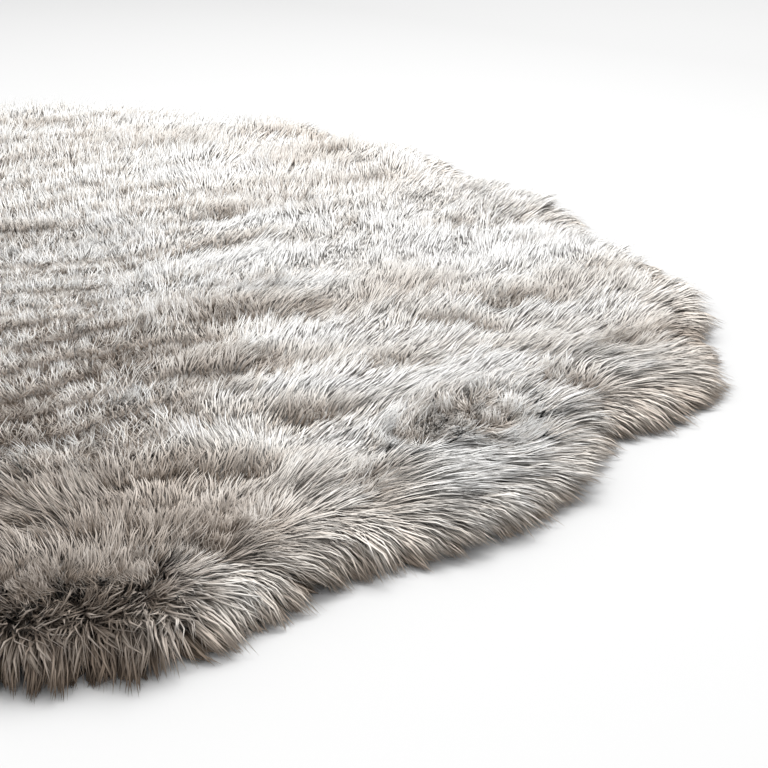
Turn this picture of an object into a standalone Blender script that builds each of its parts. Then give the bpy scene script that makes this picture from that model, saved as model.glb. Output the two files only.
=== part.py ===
# A shag rug with a scalloped edge, lying flat. Metres, +Z up.
# The origin is on the floor under the middle of the rug; the front edge is at -Y.
# The rug is one solid: a lumpy slab of pile with a flat underside, and locks fused to its rim.

import math
import random
from collections import namedtuple

import bmesh
import bpy
from mathutils import Vector

# Driving dimensions
PILE_HEIGHT = 0.045         # the pile over the middle of the rug
CREST_RISE = 0.009          # the roll of pile just inside the edge stands this much higher
CREST_INSET = 0.085         # from the outline to the top of that roll
CREST_WIDTH = 0.060
WALL_INSET = 0.046          # from the outline, where the tips lie, to the slab's wall
TROUGH_DEPTH = 0.011        # a soft trough runs in from each notch of the outline
TROUGH_WIDTH = 0.045
RIPPLE_HEIGHT = 0.0045      # half of a ripple's height, from trough to ridge
RIPPLE_SPACING = 0.130
RIPPLE_ANGLE = math.radians(12)   # the ridges run this far from +X
RIPPLE_REACH = (0.42, 0.72)       # the ripples fade out this far from the middle, in X and Y
RIPPLE_BENDS = ((0.022, 9.0), (0.012, 23.0))   # how far the ridges wander, and how quickly
SHIFT = Vector((0.0009, -0.0144))  # brings the middle of the finished rug over the origin

SEGMENTS = 240              # around the rim, with one lock to each
TOP_RINGS = 21
FINE_FROM = 0.90            # share of the way to the wall past which every segment is kept
MEDIUM_FROM = 0.30          # and past which every second one is kept
LOBE_STEPS = 60             # points along a lobe when the outline is measured

# Each row is a notch of the outline, from the front round the right to the back: its place,
# how far the lobe that starts there stands out of its chord and leans along it, and the place
# where the trough that runs in from it ends. The left half mirrors the right half.
Notch = namedtuple("Notch", "x y bulge lean trough_x trough_y")
RIGHT_NOTCHES = [
    Notch(0.239, -0.804, 0.063, 0.000, 0.08, -0.74),
    Notch(0.574, -0.591, 0.057, 0.010, 0.30, -0.61),
    Notch(0.778, -0.367, 0.053, -0.006, 0.60, -0.36),
    Notch(0.765, 0.012, 0.048, 0.000, 0.52, 0.05),
    Notch(0.670, 0.340, 0.050, 0.000, 0.27, 0.24),
    Notch(0.540, 0.594, 0.046, 0.000, 0.36, 0.50),
    Notch(0.305, 0.824, 0.126, 0.000, 0.20, 0.68),
]
FRONT_BULGE = 0.120

# How far each notch of the left half lies from its mirrored place, so that the halves differ.
Offset = namedtuple("Offset", "x y")
LEFT_OFFSETS = [
    Offset(-0.012, 0.006),
    Offset(0.010, -0.014),
    Offset(-0.008, 0.018),
    Offset(0.014, -0.010),
    Offset(-0.010, 0.012),
    Offset(0.012, -0.008),
    Offset(0.006, 0.004),
]

# Broad swells and dips of the combed pile.
Swell = namedtuple("Swell", "x y radius height")
SWELLS = [
    Swell(-0.05, -0.72, 0.11, 0.003),
    Swell(0.18, -0.60, 0.12, -0.005),
    Swell(0.42, -0.48, 0.12, 0.005),
    Swell(0.27, -0.33, 0.10, -0.004),
    Swell(0.58, -0.24, 0.12, 0.005),
    Swell(0.42, -0.12, 0.10, -0.005),
    Swell(0.58, 0.14, 0.11, 0.004),
    Swell(0.30, 0.10, 0.11, 0.005),
    Swell(0.44, 0.38, 0.11, 0.004),
    Swell(0.16, 0.52, 0.13, -0.004),
    Swell(-0.20, 0.64, 0.12, 0.004),
    Swell(-0.44, 0.38, 0.13, -0.004),
    Swell(-0.56, 0.10, 0.12, 0.005),
    Swell(-0.50, -0.22, 0.13, -0.004),
    Swell(-0.34, -0.52, 0.12, 0.005),
]

# The slab's wall, from the top down: share of the way to the wall, and of the pile's height.
WallRow = namedtuple("WallRow", "out up")
WALL_ROWS = [
    WallRow(0.960, 0.95),
    WallRow(0.983, 0.78),
    WallRow(0.998, 0.48),
    WallRow(1.003, 0.20),
    WallRow(0.990, 0.00),
]

# The two rings of locks: the wall row that their roots start at, how far they reach past it,
# and how far they lift before they fall.
LockRing = namedtuple("LockRing", "row reach lift")
LOCK_RINGS = [
    LockRing(1, 0.054, 0.006),
    LockRing(2, 0.042, -0.002),
]
LOCK_REACH_SPREAD = (0.84, 1.06)
LOCK_SWAY = 0.14            # neighbouring locks lean this way and that together
LOCK_SWAY_TURN = 0.37       # radians of that sway from one segment to the next
LOCK_SPREAD = 0.10          # and each leans a little on its own
TIP_HEIGHT = 0.0012         # a lock's tip lies this far above the floor
BEND_AT = 0.55              # a lock's bend, as a share of its reach
SMOOTHED_OVER = 6           # segments each way over which the locks' direction is averaged
SEED = 11

# A lock's sections past its root: place along its length, and size against the root.
LockSection = namedtuple("LockSection", "along size")
LOCK_SECTIONS = [
    LockSection(0.30, 0.74),
    LockSection(0.68, 0.44),
]


def all_notches():
    # The notches in order, counterclockwise from the one at the right of the front lobe.
    # Mirrored, a notch starts the lobe that its neighbour started on the right.
    left = []
    bulge, lean = FRONT_BULGE, 0.0
    for notch, offset in zip(RIGHT_NOTCHES, LEFT_OFFSETS):
        left.append(Notch(offset.x - notch.x, offset.y + notch.y, bulge, lean,
                          offset.x - notch.trough_x, offset.y + notch.trough_y))
        bulge, lean = notch.bulge, -notch.lean
    return RIGHT_NOTCHES + left[::-1]


def lobe_point(start, end, share):
    # A point on the round lobe between two notches.
    chord = Vector((end.x - start.x, end.y - start.y))
    along = chord.normalized()
    outward = Vector((along.y, -along.x))
    swing = 4 * share * (1 - share)
    return Vector((start.x, start.y)) + chord * share + (outward * start.bulge + along * start.lean) * swing


def outline_points(count):
    # Points evenly spaced along the whole outline.
    notches = all_notches()
    dense = []
    for start, end in zip(notches, notches[1:] + notches[:1]):
        dense += [lobe_point(start, end, step / LOBE_STEPS) for step in range(LOBE_STEPS)]
    dense.append(dense[0])
    lengths = [0.0]
    for a, b in zip(dense, dense[1:]):
        lengths.append(lengths[-1] + (b - a).length)
    points = []
    place = 0
    for i in range(count):
        wanted = lengths[-1] * i / count
        while lengths[place + 1] < wanted:
            place += 1
        share = (wanted - lengths[place]) / (lengths[place + 1] - lengths[place])
        points.append(dense[place].lerp(dense[place + 1], share))
    return points


def outward_directions(points):
    # The way out at each outline point, averaged over its neighbours so that the locks on the
    # two sides of a notch run side by side.
    count = len(points)
    normals = []
    for i in range(count):
        along = points[(i + 1) % count] - points[i - 1]
        normals.append(Vector((along.y, -along.x)).normalized())
    directions = []
    for i in range(count):
        total = Vector((0, 0))
        for j in range(-SMOOTHED_OVER, SMOOTHED_OVER + 1):
            total += normals[(i + j) % count] * (SMOOTHED_OVER + 1 - abs(j))
        directions.append(total.normalized())
    return directions


def bell(value):
    return math.exp(-value * value)


def trough_depth(point):
    # How deep the troughs that run in from the notches are here.
    depth = 0.0
    for notch in all_notches():
        mouth = Vector((notch.x, notch.y))
        run = Vector((notch.trough_x, notch.trough_y)) - mouth
        share = min(max((point - mouth).dot(run) / run.length_squared, 0.0), 1.0)
        aside = (point - mouth - run * share).length
        depth = max(depth, TROUGH_DEPTH * (1 - 0.7 * share) * bell(aside / TROUGH_WIDTH))
    return depth


def ripple_height(point):
    # Low ridges across the middle, bent a little so that they aren't ruled lines.
    along = point.x * math.cos(RIPPLE_ANGLE) + point.y * math.sin(RIPPLE_ANGLE)
    across = point.y * math.cos(RIPPLE_ANGLE) - point.x * math.sin(RIPPLE_ANGLE)
    bend = sum(size * math.sin(along * turns) for size, turns in RIPPLE_BENDS)
    out = math.hypot(point.x / RIPPLE_REACH[0], point.y / RIPPLE_REACH[1])
    return RIPPLE_HEIGHT * math.sin(2 * math.pi * (across + bend) / RIPPLE_SPACING) / (1 + out ** 8)


def top_height(point, edge_distance):
    # The height of the pile at a point that is so far in from the outline.
    height = PILE_HEIGHT + CREST_RISE * bell((edge_distance - CREST_INSET) / CREST_WIDTH)
    height += ripple_height(point) - trough_depth(point)
    for swell in SWELLS:
        height += swell.height * bell((point - Vector((swell.x, swell.y))).length / swell.radius)
    return height


def segment_turn(co):
    # How many segments round from +X a point of the plain disc lies.
    return math.atan2(co.y, co.x) / (2 * math.pi) * SEGMENTS


def spin_disc(bm):
    # Turns a profile, given in shares of the rug's reach and height, into a closed disc.
    profile = [(WALL_ROWS[0].out * i / TOP_RINGS, 1.0) for i in range(TOP_RINGS)]
    profile += [(row.out, row.up) for row in WALL_ROWS]
    verts = [bm.verts.new((out, 0, up)) for out, up in profile]
    edges = [bm.edges.new(pair) for pair in zip(verts, verts[1:])]
    bmesh.ops.spin(bm, geom=verts + edges, cent=(0, 0, 0), axis=(0, 0, 1),
                   steps=SEGMENTS, angle=2 * math.pi)
    bmesh.ops.remove_doubles(bm, verts=bm.verts, dist=1e-5)
    bmesh.ops.contextual_create(bm, geom=[edge for edge in bm.edges if edge.is_boundary])


def thin_out(bm):
    # Welds the disc's inner rings down to every second segment, and to every fourth one
    # around the middle.
    rings = {}
    for vert in bm.verts:
        share = vert.co.xy.length
        if vert.co.z == 1.0 and 0 < share < FINE_FROM:
            segment = round(segment_turn(vert.co)) % SEGMENTS
            rings.setdefault(round(share, 4), {})[segment] = vert
    pairs = {}
    for share, ring in rings.items():
        step = 2 if share > MEDIUM_FROM else 4
        for segment, vert in ring.items():
            if segment % step:
                pairs[vert] = ring[segment - segment % step]
    bmesh.ops.weld_verts(bm, targetmap=pairs)


def tag_wall(bm):
    # Numbers the wall's faces by row and segment while the slab is still a plain disc.
    row_tag = bm.faces.layers.int.new("row")
    segment_tag = bm.faces.layers.int.new("segment")
    for face in bm.faces:
        centre = face.calc_center_median()
        face[row_tag] = -1
        for row, (upper, lower) in enumerate(zip(WALL_ROWS, WALL_ROWS[1:])):
            if upper.up > centre.z > lower.up:
                face[row_tag] = row
                face[segment_tag] = math.floor(segment_turn(centre)) % SEGMENTS


def shape_slab(bm, points):
    # Moves the disc's points to the rug's outline and heights.
    for vert in bm.verts:
        rim = points[round(segment_turn(vert.co)) % SEGMENTS]
        place = rim.normalized() * (rim.length - WALL_INSET) * vert.co.xy.length
        height = top_height(place, rim.length - place.length)
        vert.co = (place.x, place.y, height * vert.co.z)


def grow_lock(bm, face, direction, reach, lift, fullness):
    # Extrudes one face of the wall into a curved lock that ends in a point on the floor. Its
    # sections stay square to the curve.
    root = face.calc_center_median()
    facing = face.normal.copy()
    corners = [vert.co - root for vert in face.verts]
    out = Vector((direction.x, direction.y, 0)) * reach
    bend = root + out * BEND_AT + Vector((0, 0, lift))
    tip = root + out
    tip.z = TIP_HEIGHT
    for section in LOCK_SECTIONS:
        t = section.along
        centre = root * (1 - t) ** 2 + bend * (2 * t * (1 - t)) + tip * t ** 2
        slope = (bend - root) * (1 - t) + (tip - bend) * t
        turn = facing.rotation_difference(slope)
        face = bmesh.ops.extrude_discrete_faces(bm, faces=[face])["faces"][0]
        for vert, corner in zip(face.verts, corners):
            vert.co = centre + turn @ corner * section.size * fullness
    face = bmesh.ops.extrude_discrete_faces(bm, faces=[face])["faces"][0]
    bmesh.ops.pointmerge(bm, verts=face.verts, merge_co=tip)


def add_locks(bm, points):
    # One lock on every second face of each ring, the two rings staggered.
    chance = random.Random(SEED)
    directions = outward_directions(points)
    row_tag = bm.faces.layers.int["row"]
    segment_tag = bm.faces.layers.int["segment"]
    faces = {(face[row_tag], face[segment_tag]): face for face in bm.faces}
    for first, ring in enumerate(LOCK_RINGS):
        for segment in range(first, SEGMENTS, 2):
            face = faces[(ring.row, segment)]
            before, after = segment - 1, (segment + 2) % SEGMENTS
            smooth = (directions[segment] + directions[(segment + 1) % SEGMENTS]).normalized()
            direction = smooth + face.normal.xy.normalized()
            lean = LOCK_SWAY * math.sin(segment * LOCK_SWAY_TURN) + chance.uniform(-LOCK_SPREAD, LOCK_SPREAD)
            leaning = (direction + direction.orthogonal() * lean).normalized()
            reach = ring.reach * chance.uniform(*LOCK_REACH_SPREAD)
            width = points[after] - points[before]
            closing = (directions[after] - directions[before]) * reach
            room = min((width + closing).length / width.length, 1.0)
            grow_lock(bm, face, leaning, reach, ring.lift, room)


def pile_material():
    material = bpy.data.materials.new("taupe_pile")
    material.use_nodes = True
    shader = material.node_tree.nodes["Principled BSDF"]
    shader.inputs["Base Color"].default_value = (0.36, 0.31, 0.27, 1)
    shader.inputs["Roughness"].default_value = 0.9
    shader.inputs["Metallic"].default_value = 0.0
    return material


def make_rug(collection):
    points = outline_points(SEGMENTS)
    bm = bmesh.new()
    spin_disc(bm)
    thin_out(bm)
    tag_wall(bm)
    shape_slab(bm, points)
    bmesh.ops.recalc_face_normals(bm, faces=bm.faces)
    add_locks(bm, points)
    bmesh.ops.translate(bm, verts=bm.verts, vec=SHIFT.to_3d())
    bmesh.ops.recalc_face_normals(bm, faces=bm.faces)
    mesh = bpy.data.meshes.new("shag_rug")
    bm.to_mesh(mesh)
    bm.free()
    mesh.materials.append(pile_material())
    mesh.shade_smooth()
    collection.objects.link(bpy.data.objects.new("shag_rug", mesh))


for old in list(bpy.data.objects):
    bpy.data.objects.remove(old)
rug_collection = bpy.data.collections.new("shag_rug")
bpy.context.scene.collection.children.link(rug_collection)
make_rug(rug_collection)
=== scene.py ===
import math
from types import SimpleNamespace

import bpy
import numpy as np
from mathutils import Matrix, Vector, noise
from mathutils.bvhtree import BVHTree


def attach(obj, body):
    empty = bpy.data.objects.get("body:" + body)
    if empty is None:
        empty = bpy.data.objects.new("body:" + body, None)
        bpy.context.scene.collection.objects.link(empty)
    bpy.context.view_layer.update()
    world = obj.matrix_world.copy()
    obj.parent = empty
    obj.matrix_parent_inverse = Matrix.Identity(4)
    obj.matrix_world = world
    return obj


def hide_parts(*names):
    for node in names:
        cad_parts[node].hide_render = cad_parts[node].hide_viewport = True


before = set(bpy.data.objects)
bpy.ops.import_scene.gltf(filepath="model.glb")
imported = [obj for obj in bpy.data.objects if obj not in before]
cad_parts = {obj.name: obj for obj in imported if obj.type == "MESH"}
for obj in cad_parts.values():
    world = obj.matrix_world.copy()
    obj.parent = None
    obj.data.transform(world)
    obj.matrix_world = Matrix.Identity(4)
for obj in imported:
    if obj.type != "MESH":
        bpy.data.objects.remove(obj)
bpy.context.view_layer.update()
scene = bpy.context.scene
scene.view_settings.view_transform = "Standard"  # keeps the white floor white

# Camera, at the photograph's angle
view = {
    "place": (-0.0087, -2.0471, 0.7554),
    "turn": 13.0,  # degrees from +Y towards +X
    "pitch": 24.0,  # degrees down
    "lens": 75.0,
    "sensor": 36.0,
}


def addCamera():
    turn, pitch = math.radians(view["turn"]), math.radians(view["pitch"])
    camera = bpy.data.objects.new("camera", bpy.data.cameras.new("camera"))
    camera.data.lens = view["lens"]
    camera.data.sensor_width = view["sensor"]
    camera.location = view["place"]
    camera.rotation_euler = (math.pi / 2 - pitch, 0, -turn)
    scene.collection.objects.link(camera)
    scene.camera = camera


addCamera()


# Nodes, for materials and for geometry

def isVector(value):
    return isinstance(value, tuple) or isinstance(value, Wire) and value.socket.type == "VECTOR"


def operator(name, reflected=False):
    def work(self, *others):
        values = (self, *others)
        return self.graph.maths(name, *(reversed(values) if reflected else values))
    return work


class Wire:
    # Wraps a socket, so that node maths is written as an expression
    def __init__(self, graph, socket):
        self.graph = graph
        self.socket = socket

    __add__ = operator("ADD")
    __radd__ = operator("ADD", reflected=True)
    __sub__ = operator("SUBTRACT")
    __rsub__ = operator("SUBTRACT", reflected=True)
    __truediv__ = operator("DIVIDE")
    __rtruediv__ = operator("DIVIDE", reflected=True)
    __pow__ = operator("POWER")
    absolute = operator("ABSOLUTE")
    sign = operator("SIGN")
    sine = operator("SINE")
    atLeast = operator("MAXIMUM")
    atMost = operator("MINIMUM")
    unit = operator("NORMALIZE")
    cross = operator("CROSS_PRODUCT")

    def __mul__(self, other):
        if isVector(self) and not isVector(other):
            return self.graph.add("ShaderNodeVectorMath", {"operation": "SCALE"}, {0: self, "Scale": other})
        if isinstance(other, Wire) and isVector(other) and not isVector(self):
            return other * self
        return self.graph.maths("MULTIPLY", self, other)

    def __rmul__(self, other):
        return self * other

    def split(self):
        node = self.graph.add("ShaderNodeSeparateXYZ", sockets={0: self}).socket.node
        return [Wire(self.graph, socket) for socket in node.outputs]


class Graph:
    # A node tree: add() makes a node from its type, its settings and what its sockets get
    def __init__(self, tree):
        self.tree = tree

    def add(self, kind, settings=None, sockets=None, out=0):
        node = self.tree.nodes.new(kind)
        for name, value in (settings or {}).items():
            if name == "ramp":
                self.setRamp(node, value)
            else:
                setattr(node, name, value)
        for key, value in (sockets or {}).items():
            self.give(self.find(node.inputs, key), value)
        return Wire(self, self.find(node.outputs, out))

    def find(self, sockets, key):
        if isinstance(key, int):
            return sockets[key]
        return next(socket for socket in sockets if socket.enabled and socket.name == key)

    def give(self, socket, value):
        if isinstance(value, Wire):
            self.tree.links.new(value.socket, socket)
        else:
            socket.default_value = value

    def setRamp(self, node, stops):
        elements = node.color_ramp.elements
        while len(elements) < len(stops):
            elements.new(0.5)
        for element, (place, colour) in zip(elements, stops):
            element.position = place
            element.color = colour

    def maths(self, operation, *values):
        kind = "ShaderNodeVectorMath" if any(isVector(value) for value in values) else "ShaderNodeMath"
        return self.add(kind, {"operation": operation}, dict(enumerate(values)))

    def vector(self, x, y, z=0.0):
        return self.add("ShaderNodeCombineXYZ", sockets={"X": x, "Y": y, "Z": z})

    # For geometry: a named value that every point carries
    def field(self, name, kind="FLOAT"):
        return self.add("GeometryNodeInputNamedAttribute", {"data_type": kind}, {"Name": name})

    def vectorField(self, name):
        return self.field(name, "FLOAT_VECTOR")

    def store(self, geometry, name, value):
        kind = "FLOAT_VECTOR" if isVector(value) else "FLOAT"
        return self.add("GeometryNodeStoreNamedAttribute", {"data_type": kind, "domain": "POINT"},
                        {"Geometry": geometry, "Name": name, "Value": value})

    # For materials: the same value read back, and what the shader gets
    def carried(self, name, out="Fac"):
        return self.add("ShaderNodeAttribute", {"attribute_name": name}, out=out)

    def finish(self, values):
        shader = self.tree.nodes["Principled BSDF"]
        for name, value in values.items():
            self.give(shader.inputs[name], value)


def newMaterial(name):
    material = bpy.data.materials.new(name)
    material.use_nodes = True
    return material, Graph(material.node_tree)


# The outline that the tips of the pile reach: notches from the front round the right to the
# back, and the round lobes between them. The left half mirrors them, a little off.
outline = {
    "notches": [  # x, y, how far the lobe that starts here stands out, and leans along
        (0.239, -0.804, 0.063, 0.000),
        (0.574, -0.591, 0.057, 0.010),
        (0.778, -0.367, 0.053, -0.006),
        (0.765, 0.012, 0.048, 0.000),
        (0.670, 0.340, 0.050, 0.000),
        (0.540, 0.594, 0.046, 0.000),
        (0.305, 0.824, 0.126, 0.000),
    ],
    "frontBulge": 0.120,
    "leftOffsets": [(-0.012, 0.006), (0.010, -0.014), (-0.008, 0.018), (0.014, -0.010),
                    (-0.010, 0.012), (0.012, -0.008), (0.006, 0.004)],
    "shift": (0.0009, -0.0144),
    "lobeSteps": 60,
    "points": 360,
    "smoothedOver": 2,  # points each way over which the way out is averaged
}


def allNotches():
    left, bulge, lean = [], outline["frontBulge"], 0.0
    for (x, y, out, along), (offX, offY) in zip(outline["notches"], outline["leftOffsets"]):
        left.append((offX - x, offY + y, bulge, lean))
        bulge, lean = out, -along
    return outline["notches"] + left[::-1]


def outlinePoints(count):
    # Evenly spaced, counterclockwise from the notch at the right of the front lobe
    notches = allNotches()
    dense = []
    for (x, y, bulge, lean), (endX, endY, _, _) in zip(notches, notches[1:] + notches[:1]):
        start, chord = np.array((x, y)), np.array((endX - x, endY - y))
        along = chord / np.linalg.norm(chord)
        push = np.array((along[1], -along[0])) * bulge + along * lean
        for step in range(outline["lobeSteps"]):
            t = step / outline["lobeSteps"]
            dense.append(start + chord * t + push * 4 * t * (1 - t) + outline["shift"])
    dense = np.array(dense + dense[:1])
    lengths = np.append(0, np.cumsum(np.linalg.norm(np.diff(dense, axis=0), axis=1)))
    wanted = np.linspace(0, lengths[-1], count, endpoint=False)
    return np.stack([np.interp(wanted, lengths, dense[:, k]) for k in (0, 1)], axis=1)


def outwardWays(points):
    along = np.roll(points, -1, axis=0) - np.roll(points, 1, axis=0)
    ways = np.stack([along[:, 1], -along[:, 0]], axis=1)
    reach = outline["smoothedOver"]
    total = sum(np.roll(ways, j, axis=0) * (reach + 1 - abs(j)) for j in range(-reach, reach + 1))
    return total / np.linalg.norm(total, axis=1, keepdims=True)


rim = outlinePoints(outline["points"])
rimOut = outwardWays(rim)


def smoothStep(low, high, value):
    t = np.clip((value - low) / (high - low), 0, 1)
    return t * t * (3 - 2 * t)


def unitRows(vectors):
    return vectors / np.maximum(np.linalg.norm(vectors, axis=1, keepdims=True), 1e-9)


def mix(low, high, share):
    return low + (high - low) * share


def nearTo(places, x, y, radius):
    # 1 at the given place, fading to 0 past its radius
    return np.exp(-((places - (x, y)) ** 2).sum(axis=1) / radius ** 2)


def insetRim(gap):
    # The outline drawn in towards the middle
    return rim * (1 - gap / np.linalg.norm(rim, axis=1, keepdims=True))


def spinMesh(name, rows, centreHeight, floorHeight):
    # A closed mesh from rings of points, the innermost first and the last one on the floor
    count = len(rows[0])
    middle = rows[0][:, :2].mean(axis=0)
    points = np.concatenate(rows + [[(*middle, centreHeight), (*middle, floorHeight)]])
    top, bottom = len(points) - 2, len(points) - 1
    last = (len(rows) - 1) * count
    faces = []
    for i in range(count):
        j = (i + 1) % count
        faces.append((top, i, j))
        for row in range(len(rows) - 1):
            a, b = row * count + i, row * count + j
            faces.append((a, a + count, b + count, b))
        faces.append((bottom, last + j, last + i))
    mesh = bpy.data.meshes.new(name)
    mesh.from_pydata(points.tolist(), [], faces)
    mesh.validate()
    return mesh


def addObject(name, mesh):
    piece = bpy.data.objects.new(name, mesh)
    scene.collection.objects.link(piece)
    return piece


# The dense short under-pile that the long pile grows through
underPile = {
    "depth": 0.015,  # below the CAD solid's top
    "inset": 0.032,  # from the outline to its wall
    "rings": 34,
    "growingRings": 84,  # of the closer mesh that the pile grows from
    "crowding": 0.9,  # the lower it is, the closer the outer rings stand
    "level": 0.925,  # share of the way out past which its top stays level
    "wall": [(0.960, 1.00), (0.974, 0.95), (0.986, 0.83), (0.994, 0.62), (0.999, 0.36), (1.000, 0.15)],
    "foot": 0.0021,  # it stands on the ground cloth
    "footOut": 0.985,
    "smoothing": 2,
    "shoulder": (0.150, 0.045),  # from the outline: where its top starts to fall, and has fallen
    "fall": 0.45,
    "frontKeeps": (0.32, 0.20, -0.62, -0.80),  # the front lobe stays full: limits in X and in Y
    "colours": [(0.20, (0.135, 0.108, 0.088, 1)), (1.00, (0.800, 0.765, 0.720, 1))],
    "fuzz": (420.0, 0.3),  # how fine its fuzz is, and how much paler
    "fuzzHeight": 0.003,
}


def frontLobe(places):
    outX, inX, outY, inY = underPile["frontKeeps"]
    return smoothStep(outX, inX, np.abs(places[:, 0])) * smoothStep(outY, inY, places[:, 1])


def cadHeights(places):
    # How high the CAD solid stands at each place
    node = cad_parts["shag_rug"].data
    tree = BVHTree.FromPolygons([v.co for v in node.vertices], [p.vertices for p in node.polygons])
    heights = []
    for x, y in places:
        hit = tree.ray_cast(Vector((x, y, 1.0)), Vector((0, 0, -1)))[0]
        heights.append(hit.z)
    return np.array(heights)


def curlMounds(places):
    # How strong the rows of curls are at each place
    curls = np.zeros(len(places))
    for x, y, radius, strength, whorl in tufts["rows"]:
        curls = np.maximum(curls, nearTo(places, x, y, radius) * strength * (1 - whorl))
    return curls


def makeUnderPile(rings):
    wall = insetRim(underPile["inset"])
    firstOut = underPile["wall"][0][0]
    shares = [firstOut * ((i + 1) / rings) ** underPile["crowding"] for i in range(rings)]
    tops = np.array([cadHeights(wall * min(share, underPile["level"])) for share in shares])
    tops -= underPile["depth"]
    for _ in range(underPile["smoothing"]):
        tops = (np.roll(tops, 1, axis=1) + 2 * tops + np.roll(tops, -1, axis=1)) / 4
        tops[1:-1] = (tops[:-2] + 2 * tops[1:-1] + tops[2:]) / 4
    rows = []
    for share, top in zip(shares, tops):
        places = wall * share
        inset, _ = rimPlaces(places)
        fall = underPile["fall"] * (1 - frontLobe(places))
        top *= 1 - fall * smoothStep(*underPile["shoulder"], inset)
        uneven = tufts["mound"] * curlMounds(places) - hollows["dip"] * hollowFields(places)[0]
        rows.append(np.column_stack([places, top + uneven]))
    foot = underPile["foot"]
    for out, up in underPile["wall"][1:]:
        rows.append(np.column_stack([wall * out, mix(foot, tops[-1], up)]))
    rows.append(np.column_stack([wall * underPile["footOut"], np.full(len(wall), foot)]))
    return spinMesh("underPile", rows, tops[0].mean(), foot)


# How the pile is combed. Each row gives a place, which way the tips point there in degrees from
# +X, and how flat the pile lies, from 0 to 1.
comb = {
    "rows": [
        (0.00, 0.72, 85, 0.55), (0.20, 0.72, 78, 0.60), (0.40, 0.62, 75, 0.70),
        (0.00, 0.48, 85, 0.50), (0.20, 0.50, 84, 0.60), (0.38, 0.45, 75, 0.70), (0.52, 0.42, 72, 0.75),
        (0.04, 0.25, 90, 0.45), (0.20, 0.28, 88, 0.55), (0.35, 0.30, 80, 0.60), (0.50, 0.28, 72, 0.70),
        (0.62, 0.22, 62, 0.80),
        (-0.05, 0.08, 98, 0.40), (0.10, 0.10, 88, 0.45), (0.25, 0.12, 82, 0.65), (0.40, 0.10, 74, 0.70),
        (0.55, 0.10, 70, 0.75), (0.68, 0.08, 60, 0.80),
        (-0.05, -0.10, 98, 0.35), (0.10, -0.05, 76, 0.40), (0.25, -0.02, 68, 0.85),
        (0.38, -0.05, 75, 0.80), (0.52, -0.05, 70, 0.75), (0.68, -0.05, 66, 0.80),
        (0.05, -0.22, 92, 0.35), (0.18, -0.24, 78, 0.50), (0.33, -0.18, 62, 0.80),
        (0.45, -0.20, 62, 0.75), (0.58, -0.22, 54, 0.75), (0.70, -0.20, 62, 0.80),
        (0.00, -0.35, 92, 0.35), (0.14, -0.35, 75, 0.40), (0.25, -0.33, 68, 0.75),
        (0.36, -0.30, 66, 0.80), (0.46, -0.32, 64, 0.75), (0.56, -0.33, 52, 0.80),
        (0.70, -0.33, 48, 0.85),
        (0.00, -0.47, 85, 0.45), (0.12, -0.46, 84, 0.55), (0.22, -0.45, 68, 0.80),
        (0.32, -0.42, 60, 0.85), (0.42, -0.42, 38, 0.85), (0.52, -0.42, 46, 0.80),
        (0.62, -0.43, 25, 0.85), (0.72, -0.42, 38, 0.90),
        (0.42, -0.50, 25, 0.85), (0.54, -0.50, 44, 0.80), (0.64, -0.51, 10, 0.90),
        (-0.06, -0.58, 128, 0.70), (0.04, -0.57, 106, 0.75), (0.13, -0.58, 104, 0.80),
        (0.20, -0.57, 82, 0.85), (0.28, -0.56, 55, 0.85), (0.35, -0.55, 36, 0.85),
        (0.52, -0.60, 10, 0.85), (0.60, -0.58, -20, 0.95),
        (-0.05, -0.68, 135, 0.80), (0.04, -0.68, 112, 0.80), (0.12, -0.68, 85, 0.85),
        (0.20, -0.66, 68, 0.85), (0.28, -0.67, 48, 0.85), (0.36, -0.66, -12, 0.90),
        (0.45, -0.66, -18, 0.90), (0.54, -0.66, -60, 1.00),
        (-0.05, -0.76, 130, 0.70), (0.04, -0.76, 92, 0.80), (0.11, -0.75, 72, 0.80),
        (0.18, -0.74, 60, 0.80), (0.24, -0.73, 25, 0.85), (0.30, -0.74, 0, 0.90),
        (0.38, -0.75, -40, 0.95),
        (-0.05, -0.83, 100, 0.50), (0.03, -0.82, 66, 0.60), (0.08, -0.80, 58, 0.70),
        (0.13, -0.84, -15, 0.80), (0.16, -0.80, 15, 0.75), (0.20, -0.79, 30, 0.80),
        (0.25, -0.78, -10, 0.85), (0.28, -0.80, -45, 0.95),
        (0.00, -0.91, -95, 0.90), (0.08, -0.90, -62, 0.90), (0.16, -0.87, -45, 0.95),
        (0.00, -0.97, -92, 1.00),
    ],
    "mirroredFrom": 0.12,  # rows past this far from the middle are mirrored on the left
    "radius": 0.040,  # how closely the pile keeps to each row
    "wander": [(14.0, 6.0, 0.0), (18.0, 15.0, 7.3), (12.0, 37.0, 14.6)],  # degrees, how quickly, seed
    "leastLie": 0.05,
    "rimBand": (0.082, 0.034),  # from the outline: where the pile starts to turn outwards, and has turned
    "rimKeeps": (0.35, 0.7),  # at the rim: how much of the comb goes, and how much of the way out comes
}

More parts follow.
